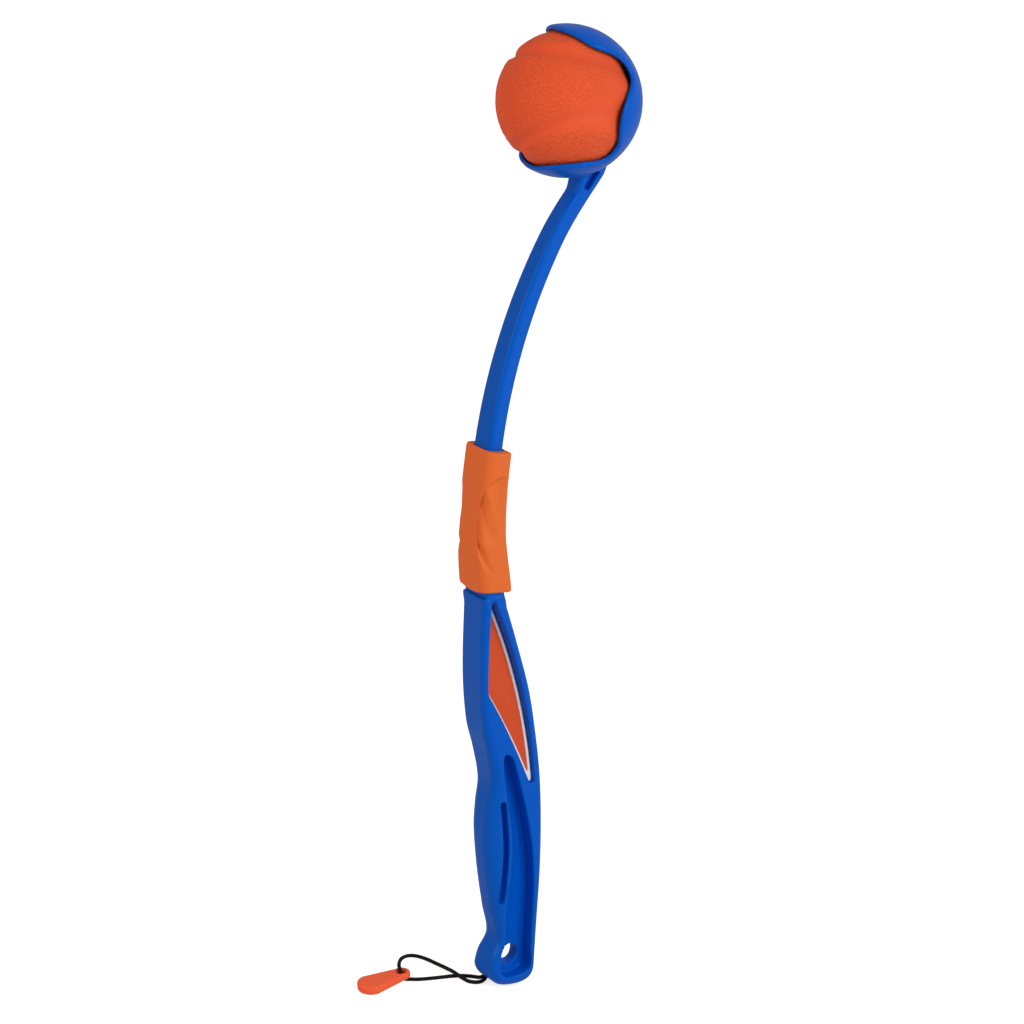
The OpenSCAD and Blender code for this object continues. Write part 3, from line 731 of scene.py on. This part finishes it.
def bowed_edge(x, z, a, b, bow):
    """Distance from a line from a to b that bows out; negative on the panel's side."""
    dx, dz = b[0] - a[0], b[1] - a[1]
    length = math.hypot(dx, dz)
    t = np.clip(((x - a[0]) * dx + (z - a[1]) * dz) / length ** 2, -0.2, 1.2)
    return ((x - a[0]) * dz - (z - a[1]) * dx) / length - bow * 4 * t * (1 - t)


def label_edges(x, z):
    """Distances from the two front edges and from the back edge."""
    upper = bowed_edge(x, z, LABEL_TOP, LABEL_FRONT, UPPER_BOW)
    lower = bowed_edge(x, z, LABEL_FRONT, LABEL_LOW, LOWER_BOW)
    rear = bowed_edge(x, z, LABEL_LOW, LABEL_TOP, BACK_BOW)
    return soft_max(upper, lower, 1.2), soft_max(rear, LABEL_END - z, 2)


def label_outline(x, z):
    return soft_max(*label_edges(x, z), 1.6)


def recess_place(y, z):
    """(position along the leaning floor, height above it)."""
    dy, dz = y - (RECESS - HANDLE_HALF), z - RECESS_Z
    c, k = math.cos(RECESS_LEAN), math.sin(RECESS_LEAN)
    return RECESS_Z + dy * k + dz * c, dz * k - dy * c


# %% Handle
NECK_HALF = 9.5
NECK_BACK = 7.4
NECK_ROOT = 15
NECK_RELIEF = 1.4
EAR_GAP = 4.5
FOLD_GAP = 0.4
FOLD = math.radians(150)
PRESS_GAP = 0.02
ARM_FRONT = 3.75
ARM_BACK = 4.3
CORD_HOLE_R = CORD_D + 0.1
BACK_ROUND = 2.5
SHOULDER_CRISP = 0.55
CRISP_DROP = 8
CRISP_SPAN = 5
FOOT_TAPER = 0.5


def half_space(back, up, angle, offset):
    """Distance from a line in the hinge frame, whose normal is at an angle from straight back."""
    return back * math.cos(angle) + up * math.sin(angle) - offset


def grip_field(x, ay, z):
    """The outline with its thickness and rounded edges, which are roundest in front."""
    front, rear = curve(front_line, z), curve(back_line, z)
    across = soft_step((x - front) / np.maximum(rear - front, 1) * 2 - 0.5)
    r = curve(front_round, z) * (1 - across) + BACK_ROUND * across
    r = r * (1 - SHOULDER_CRISP * soft_step((z - SHOULDER_Z + CRISP_DROP) / CRISP_SPAN))
    half = HANDLE_HALF * (1 - FOOT_TAPER * np.clip((HEEL_Z - z) / (HEEL_Z - GROUND_Z), 0, 1) ** 4)
    return round_corner(handle_outline(x, z), ay - half, r)


def neck_field(x, y, z):
    """Two ears for the pin, with room between them for the arm's tongue."""
    ay = np.abs(y)
    back, up = hinge_place(x, z)
    from_pin = np.hypot(back, up)
    block = soft_max(rounded_box(back, y, NECK_RELIEF - KNUCKLE_R, NECK_BACK, NECK_HALF, 0.4), up, 0.3)
    ears = np.maximum(from_pin - KNUCKLE_R, ay - NECK_HALF)
    neck = np.maximum(np.minimum(block, ears), -up - NECK_ROOT)
    folded_arm = half_space(back, up, FOLD - math.pi, PIN_BACK + ARM_FRONT + FOLD_GAP)
    room = np.minimum(from_pin - KNUCKLE_R - FOLD_GAP, folded_arm)
    neck = np.maximum(neck, -np.maximum(room, ay - EAR_GAP))
    return np.maximum(neck, PIN_R + PRESS_GAP - from_pin)


def cord_hole_field(x, y, z):
    """The slanting hole in the heel for both strands of the cord."""
    off = np.stack([x - CORD_EXIT[0], y - CORD_EXIT[1], z - CORD_EXIT[2]])
    run = off[0] * CORD_WAY[0] + off[2] * CORD_WAY[2]
    away = np.sqrt(np.maximum((off ** 2).sum(0) - run ** 2, 0))
    return np.maximum(away - CORD_HOLE_R, np.abs(run) - CORD_INSIDE)


def handle_field(x, y, z):
    ay = np.abs(y)
    floor_z, above = recess_place(y, z)
    body = soft_max(grip_field(x, ay, z), -hollow_field(x, ay, z), 1.0)
    body = soft_max(body, -slot_field(x, ay, z), 0.9)
    body = soft_max(body, -soft_max(label_outline(x, floor_z), -above, 0.5), 0.7)
    body = soft_max(body, HANG_R - np.hypot(x - HANG_X, z - HANG_Z), 0.4)
    body = soft_max(body, -cord_hole_field(x, y, z), 0.3)
    return np.minimum(body, neck_field(x, y, z))


handle = moulded("handle_moulding", handle_field, low=(-22, -11, -84), high=(16, 11, 137), step=0.62,
                 material=blue_plastic)
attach(handle, "handle")
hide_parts("handle")

# %% [markdown]
# ## Throwing arm and cup
# One moulding again: a flat bar that follows the arc, flares at its end into a cup, and wraps the ball
# with two lips. The cup is a thin shell about the ball's centre, cut where the direction from the
# centre passes the rim's angle. The rim is a table of such angles: two rounded lips, and a shallow wave
# between them. A slanting pocket lightens each side of the bar under the cup, and a small dimple in its
# front face is where the plastic entered the mould.

# %% Rim of the cup
UPPER_LIP = 114.4
LOWER_LIP = 110.4
FAR_LIP, FAR_LIP_FROM, FAR_LIP_SPAN, FAR_EASE = 3.5, 110, 30, 10
SIDE = 68.0
WAVE = 7.4
# Pairs: angle round the mouth from the upper lip, angle from the middle of the cup's back.
rim_line = [(0, UPPER_LIP), (12, UPPER_LIP - 2.6), (26, UPPER_LIP - 8.4), (34, UPPER_LIP - 14.2),
            (37.4, UPPER_LIP - 21), (40.8, SIDE + 10), (45, SIDE + 1.5), (53, SIDE - 3.2),
            (61, SIDE - 1.8), (75, SIDE + 0.6 * WAVE), (88, SIDE + WAVE), (100, SIDE + 0.75 * WAVE),
            (114, SIDE - 0.3), (122, SIDE), (127, SIDE + 1.6), (131, SIDE + 7), (134.5, LOWER_LIP - 22),
            (138.5, LOWER_LIP - 15), (144, LOWER_LIP - 8.4), (152, LOWER_LIP - 3), (162, LOWER_LIP),
            (180, LOWER_LIP)]
rim_angles = np.linspace(0, 180, 721)
rim_table = curve(rim_line, rim_angles)
rim_slope = np.gradient(rim_table, rim_angles)
print("rim reaches from %.1f to %.1f degrees" % (rim_table.min(), rim_table.max()))

# %% Arm and cup
MOUTH_TILT = math.radians(15)
ARM_BASE_W = 14.0
ARM_TOP_W = 10.0
ARM_CORNER = 2.2
ARM_HEEL = 0.85
ARM_HEEL_L = 25
ARM_STOP = math.radians(42)
BORE_GAP = 0.05
END_BEND, BEND_TURN = 1.9, (31, 9)
FLARE, FLARE_TURN = 2.8, (36, 1.8)
REAR_BLEND, BLEND_TURN = 3.2, (39, 3)
NECK_POCKET = 4.2
TONGUE_HALF = 4.3
GATE = (14.5, -1, 274.8)
GATE_R = 0.8
pocket_corners = [(-8.7, -10.6), (-6.3, -12.2), (0.0, -4.2), (-4.6, -3.4)]
neck_pocket = Outline([(ARM_END[0] + a, ARM_END[1] + b) for a, b in pocket_corners])


def after_turn(turn, start, span):
    """A smooth step along the arc, from an angle in degrees over a span of degrees."""
    return soft_step((turn - math.radians(start)) / math.radians(span))


def cup_field(x, y, z):
    """(the shell, whose lower lip is shorter on the far side; distance from the ball's centre)."""
    dx, dz = x - BALL_X, z - BALL_Z
    far = np.maximum(np.sqrt(dx * dx + y * y + dz * dz), 1e-6)
    back = dx * math.cos(MOUTH_TILT) - dz * math.sin(MOUTH_TILT)
    up = dx * math.sin(MOUTH_TILT) + dz * math.cos(MOUTH_TILT)
    reach = np.degrees(np.arccos(np.clip(back / far, -1, 1)))
    round_deg = np.degrees(np.arctan2(np.abs(y), up))
    slope = np.interp(round_deg, rim_angles, rim_slope) / np.maximum(np.sin(np.radians(reach)), 0.3)
    shorter = FAR_LIP * soft_step(y / FAR_EASE) * soft_step((round_deg - FAR_LIP_FROM) / FAR_LIP_SPAN)
    rim = np.interp(round_deg, rim_angles, rim_table) - shorter
    over = np.radians(reach - rim) * far / np.sqrt(1 + slope ** 2)
    return soft_max(np.abs(far - CUP_MID) - CUP_WALL / 2, over, 1.9), far


def bar_field(x, y, z):
    """The bar along the arc, from the tongue and knuckle of the hinge to the cup."""
    turn, back = arc_place(x, z)
    ay = np.abs(y)
    up = np.clip((turn - SLEEVE_HIGH) / (END_TURN - SLEEVE_HIGH), 0, 1)
    half = (ARM_BASE_W + (ARM_TOP_W - ARM_BASE_W) * up) / 2
    heel = ARM_HEEL * (1 - soft_step((turn - HINGE_TURN) * ARC_R / ARM_HEEL_L))
    front = -ARM_FRONT - FLARE * after_turn(turn, *FLARE_TURN)
    rear = ARM_BACK + heel - REAR_BLEND * after_turn(turn, *BLEND_TURN)
    bend = END_BEND * after_turn(turn, *BEND_TURN)
    bar = rounded_box(back - bend, y, front, rear, half, ARM_CORNER)
    hinge_back, hinge_up = hinge_place(x, z)
    from_pin = np.hypot(hinge_back, hinge_up)
    bar = soft_max(bar, 0.1 - hinge_up, 0.3)
    bar = soft_max(bar, (turn - ARM_STOP) * ARC_R, 1.0)
    ear_room = half_space(hinge_back, hinge_up, math.pi - FOLD, KNUCKLE_R + FOLD_GAP)
    bar = np.maximum(bar, -np.maximum(ear_room, TONGUE_HALF - ay))
    knuckle = np.maximum(from_pin - KNUCKLE_R, ay - TONGUE_HALF)
    bar = np.minimum(bar, soft_max(knuckle, -turn - 1, 0.3))
    return np.maximum(bar, PIN_R + BORE_GAP - from_pin)


def arm_field(x, y, z):
    cup, far = cup_field(x, y, z)
    bar = np.maximum(bar_field(x, y, z), CUP_MID - far)
    whole = soft_min(bar, cup, 3.0)
    pocket = soft_max(neck_pocket(x, z), ARM_TOP_W / 2 - NECK_POCKET - np.abs(y), 0.8)
    whole = soft_max(whole, -pocket, 0.8)
    whole = soft_max(whole, CUP_IN - far, 0.2)
    gate = np.sqrt((x - GATE[0]) ** 2 + (y - GATE[1]) ** 2 + (z - GATE[2]) ** 2)
    return soft_max(whole, GATE_R - gate, 0.3)


arm = moulded("throwing_arm_moulding", arm_field, low=(-20, -36.5, 122), high=(68, 36.5, 382), step=0.72,
              material=blue_plastic)
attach(arm, "arm")
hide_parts("throwing_arm")

# %% [markdown]
# ## Sleeve
# A soft sleeve slides on the arm and covers the hinge. It is a rounded tube along the same arc, wider
# at its mouth, with a large oval finger scoop in each side that cuts into the front corner. The scoop
# is measured on the sleeve's skin as if unfolded. A ridge runs down it between two faces, and its lower
# end is a sharp trench. The scoop on the far side is shallower.

# %% Finger scoop
SLEEVE_HALF = 12.0
SCOOP_MID, SCOOP_LONG = 30.2, 24.1
SCOOP_BACK, SCOOP_WIDE = 3.0, 16.5
SCOOP_BASE = 0.3
SCOOP_EDGE = 24
FAR_SCOOP, SCOOP_EASE = 0.45, 6
TRENCH_SLOPE, TRENCH_DEPTH = 0.38, 1.2
LEAF_SLOPE, LEAF_W, LEAF_RISE, LEAF_END = 0.23, 6, 0.9, 5
FACET_SLOPE, FACET_DEPTH = 0.2, 1.3
UPPER_FROM, UPPER_SPAN = 20, 8
BACK_FADE, FADE_SPAN = 2, 5.5
ridge_line = [(8, 6), (20, 4.4), (26.5, 2.2), (30.7, 0.4), (36.8, -2), (43.5, -4.2), (48.7, -8), (56, -12)]
heel_line = [(6, 0), (9.2, -1.7), (14.5, -3.6), (19.6, -5.8), (22.3, -8.4), (25.8, -13), (30, -17)]


def scoop_depth(along, back, ay):
    """Depth of the oval that wraps the front corner, with its ridge and trench."""
    rear_face = 2 * soft_step((back + 2) / 4) - 1
    unfolded = back + rear_face * np.maximum(SLEEVE_HALF - ay, 0)
    inside = 1 - np.hypot((along - SCOOP_MID) / SCOOP_LONG, (unfolded - SCOOP_BACK) / SCOOP_WIDE)
    past_heel = np.maximum(curve(heel_line, along) - unfolded, 0)
    trench = np.minimum(TRENCH_SLOPE * past_heel, TRENCH_DEPTH)
    from_ridge = curve(ridge_line, along) - unfolded
    leaf_end = LEAF_RISE * soft_step((from_ridge - LEAF_W) / LEAF_END)
    leaf = LEAF_SLOPE * np.clip(from_ridge, 0, LEAF_W) - leaf_end
    facet = np.minimum(FACET_SLOPE * np.maximum(-from_ridge, 0), FACET_DEPTH)
    upper = soft_step((along - UPPER_FROM) / UPPER_SPAN)
    depth = SCOOP_BASE + trench * (1 - upper) + leaf * upper + facet
    depth = depth * (1 - soft_step((unfolded - BACK_FADE) / FADE_SPAN))
    return soft_max(soft_min(inside * SCOOP_EDGE, depth, 0.15), 0.0, 0.1)


# %% Sleeve
SLEEVE_WALL = 1.4
FRONT_PAD = 0.3
SLACK = 0.4
FRONT_CORNER = 4.4
REAR_CORNER = 3.0
REAR, REAR_BULGE, BULGE_END = 6.7, 1.6, 0.45
BORE_BACK, BORE_HALF, BORE_CORNER = 5.3, 7.4, 3.0
MOUTH_FRONT, MOUTH_BACK, MOUTH_HALF = 6.4, 6.3, 9.9
MOUTH_END, MOUTH_STEP = 0.19, 0.12
MOUTH_BULGE, MOUTH_BOW = 2.1, 1.6
SKIRT = 4.0
THINNEST = 0.8


def sleeve_tube(back, y, front, rear):
    """Distance to the tube's outside, whose front corners are rounder than its rear ones."""
    toward_rear = soft_step((back - front) / (rear - front) * 2 - 0.5)
    radius = FRONT_CORNER + (REAR_CORNER - FRONT_CORNER) * toward_rear
    return rounded_box(back, y, front, rear, SLEEVE_HALF, radius)


def sleeve_field(x, y, z):
    turn, back = arc_place(x, z)
    t = (turn - SLEEVE_LOW) / (SLEEVE_HIGH - SLEEVE_LOW)
    ay = np.abs(y)
    wide = 1 - soft_step((t - MOUTH_END) / MOUTH_STEP)
    bore_front = -(ARM_FRONT + SLACK + (MOUTH_FRONT - ARM_FRONT - SLACK) * wide)
    bore_back = BORE_BACK + (MOUTH_BACK - BORE_BACK) * wide
    bore_half = BORE_HALF + (MOUTH_HALF - BORE_HALF) * wide
    bore = rounded_box(back, y, bore_front, bore_back, bore_half, BORE_CORNER)
    front = -(ARM_FRONT + SLACK + SLEEVE_WALL + FRONT_PAD + MOUTH_BULGE * (1 - soft_step(t)))
    rear = REAR + REAR_BULGE * (1 - soft_step(t / BULGE_END))
    outer = sleeve_tube(back, y, front, rear)
    scoop = scoop_depth(t * SLEEVE_L, back, ay) * (1 - FAR_SCOOP * soft_step(y / SCOOP_EASE))
    outer = np.maximum(outer, soft_min(outer + scoop, bore - THINNEST, 0.6))
    part = np.clip((back - front) / (rear - front), -0.2, 1.2)
    bow = MOUTH_BOW * soft_step(1.15 - ay / SLEEVE_HALF) * (1 - soft_step(2 * part))
    outer = soft_max(outer, (SLEEVE_LOW - turn) * ARC_R - (SKIRT * part + bow), 1.4)
    outer = soft_max(outer, (turn - SLEEVE_HIGH) * ARC_R, 1.4)
    return soft_max(outer, -bore, 0.4)


sleeve = moulded("sleeve_moulding", sleeve_field, low=(-26, -13, 116), high=(4, 13, 193), step=0.55,
                 material=sleeve_rubber)
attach(sleeve, "sleeve")
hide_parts("sleeve")

# %% [markdown]
# ## Label
# A printed badge with a pale border, set in the handle's sunk panel. It is a plate with a raised rim,
# and the rim's colour is a stored attribute, so that paint and form agree.

# %% Label
LABEL_GAP = 0.3
LABEL_T = 0.9
LABEL_RIM = 0.4
FRONT_RIM_W = 1.3
BACK_RIM_W = 1.4
RIM_RISE = 0.3
PAINT_EDGE = 0.15


def in_rim(x, floor_z):
    """Distance into the raised border, which is a little wider along the back edge."""
    front, rear = label_edges(x, floor_z)
    return soft_max(front + FRONT_RIM_W, rear + BACK_RIM_W, 1.5) + LABEL_GAP


def label_field(x, y, z):
    floor_z, height = recess_place(y, z)
    edge = label_outline(x, floor_z) + LABEL_GAP
    top = LABEL_T + LABEL_RIM * soft_step(0.5 + in_rim(x, floor_z) / RIM_RISE)
    return soft_max(soft_max(edge, height - top, 0.3), -height, 0.1)


label = moulded("label_plate", label_field, low=(-18, -9.4, 18), high=(10, -1.6, 119), step=0.4,
                material=label_print)
place = np.zeros(len(label.data.vertices) * 3, np.float32)
label.data.vertices.foreach_get("co", place)
place = place.reshape(-1, 3) / MM
inset = in_rim(place[:, 0], recess_place(place[:, 1], place[:, 2])[0])
border = label.data.attributes.new("border", "FLOAT", "POINT")
border.data.foreach_set("value", np.clip(inset / PAINT_EDGE + 0.5, 0, 1).astype(np.float32))
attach(label, "handle")
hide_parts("label")

# %% [markdown]
# ## Ball
# A hollow rubber ball with a pebbled skin and two smooth, slightly sunk bands, which widen towards the
# side that the camera sees on the right. The shape follows a rule on a sphere, so Geometry Nodes make
# it: each point moves in where it lies in a band, and out by a cell pattern elsewhere. A band is a
# direction and a height along it, on a sphere of radius 1.

# %% Ball as Geometry Nodes
BALL_R = 31.75
SKIN = 0.1
BANDS = [((0.377, 0.255, 0.891), 0.482), ((0.097, 0.561, 0.822), -0.55)]
WIDE_END = (0.839, -0.545, 0)
GLOBE_LEVEL = 7
PEBBLE_SOFTNESS = 0.6
ball_sizes = {"Radius": (BALL_R - SKIN) * MM, "Band Depth": 1.7 * MM, "Band Half Width": 0.2,
              "Band Taper": 0.55, "Pebble Size": 1.8 * MM, "Pebble Height": 0.3 * MM}

tree, given, leave = new_tree("pebbled_ball", ball_sizes)
globe = add_node(tree, "GeometryNodeMeshIcoSphere", values={"Subdivisions": GLOBE_LEVEL},
                 links={"Radius": given["Radius"]})
spot = add_node(tree, "GeometryNodeInputPosition")
unit = add_node(tree, "ShaderNodeVectorMath", operation="NORMALIZE", links={0: spot.outputs[0]}).outputs[0]
taper = maths(tree, "MULTIPLY", along_way(tree, unit, WIDE_END), given["Band Taper"])
half_width = maths(tree, "MULTIPLY", given["Band Half Width"], maths(tree, "ADD", 1.0, taper))
smooth_area = 0.0
for way, offset in BANDS:
    gap = maths(tree, "ABSOLUTE", maths(tree, "SUBTRACT", along_way(tree, unit, way), offset))
    inside = add_node(tree, "ShaderNodeMapRange", interpolation_type="SMOOTHSTEP",
                      values={"From Min": 1.0, "From Max": 0.0, "To Min": 0.0, "To Max": 1.0},
                      links={"Value": maths(tree, "DIVIDE", gap, half_width)})
    smooth_area = maths(tree, "MAXIMUM", smooth_area, inside.outputs[0])
rough_area = maths(tree, "SUBTRACT", 1.0, smooth_area)
cell_scale = maths(tree, "DIVIDE", 1.0, given["Pebble Size"])
cells = add_node(tree, "ShaderNodeTexVoronoi", feature="SMOOTH_F1", values={"Smoothness": PEBBLE_SOFTNESS},
                 links={"Vector": spot.outputs[0], "Scale": cell_scale})
dome = maths(tree, "SUBTRACT", 0.5, cells.outputs["Distance"])
pebble = maths(tree, "MULTIPLY", dome, given["Pebble Height"])
groove = maths(tree, "MULTIPLY", smooth_area, given["Band Depth"])
rise = maths(tree, "SUBTRACT", maths(tree, "MULTIPLY", pebble, rough_area), groove)
shaped = pushed(tree, globe.outputs["Mesh"], unit, rise)
# The stored pebbled number also picks the ball's darker painted-shade colour in the smooth bands.
end_tree(tree, store(tree, shaped, "pebbled", rough_area), ball_rubber, leave)
ball_source = link_object(bpy.data.objects.new("ball_seed", bpy.data.meshes.new("ball_seed")))
ball = run_tree(ball_source, tree, ball_sizes, "rubber_ball")
ball.data.transform(Matrix.Translation((BALL_X * MM, 0, BALL_Z * MM)))
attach(ball, "ball")
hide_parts("ball")

# %% [markdown]
# ## Pull tab
# A soft teardrop on the cord, widest and thickest at its free end, with rounded edges and a hole. It is
# moulded flat, then turned and tilted until its free end rests on the ground.

# %% Pull tab
TAB_POS = (-38.6, 27.7)
TAB_HEADING = math.radians(181)
TAB_L = 28.0
TAB_W = 15.0
TAB_NECK_W = 8.8
TAB_T = 3.2
TAB_SWELL = 1.0
TAB_LIFT = CORD_D + 0.5
TAB_TILT = math.asin(TAB_LIFT / TAB_L)
TAB_HOLE_R = 2.4


def tab_field(u, v, w):
    """A rounded teardrop plate: two circles joined by their tangents."""
    r0, r1 = TAB_NECK_W / 2, TAB_W / 2
    span = TAB_L - r0 - r1
    slope = (r0 - r1) / span
    x, y = u - r0, np.abs(v)
    along = np.clip((x + y * slope / math.sqrt(1 - slope ** 2)) / span, 0, 1)
    plan = np.hypot(x - along * span, y) - (r0 + (r1 - r0) * along)
    thick = TAB_T + TAB_SWELL * np.clip(u / TAB_L, 0, 1)
    plate = soft_max(plan, np.abs(w - thick / 2) - thick / 2, 1.2)
    return soft_max(plate, TAB_HOLE_R - np.hypot(u - r0, v), 0.8)


tab = moulded("pull_tab_moulding", tab_field, low=(-1, -9, -0.8), high=(29, 9, 5), step=0.4,
              material=tab_rubber)
tab.data.transform(Matrix.Translation((TAB_POS[0] * MM, TAB_POS[1] * MM, FLOOR_Z + TAB_LIFT * MM))
                   @ Matrix.Rotation(TAB_HEADING, 4, "Z") @ Matrix.Rotation(TAB_TILT, 4, "Y"))
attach(tab, "handle")
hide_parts("pull_tab")

# %% [markdown]
# ## Pin and knot
# The steel hinge pin and the cord's stopper knot are simple round pieces that the CAD model already
# has, so they are shown as they are, with their own finish.

# %% Pin and knot
for node, look in (("hinge_pin", pin_steel), ("cord_knot", cord_weave)):
    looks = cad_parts[node].data.materials
    looks.clear()
    looks.append(look)
print("cord carries", tab.name, "and cord_knot")
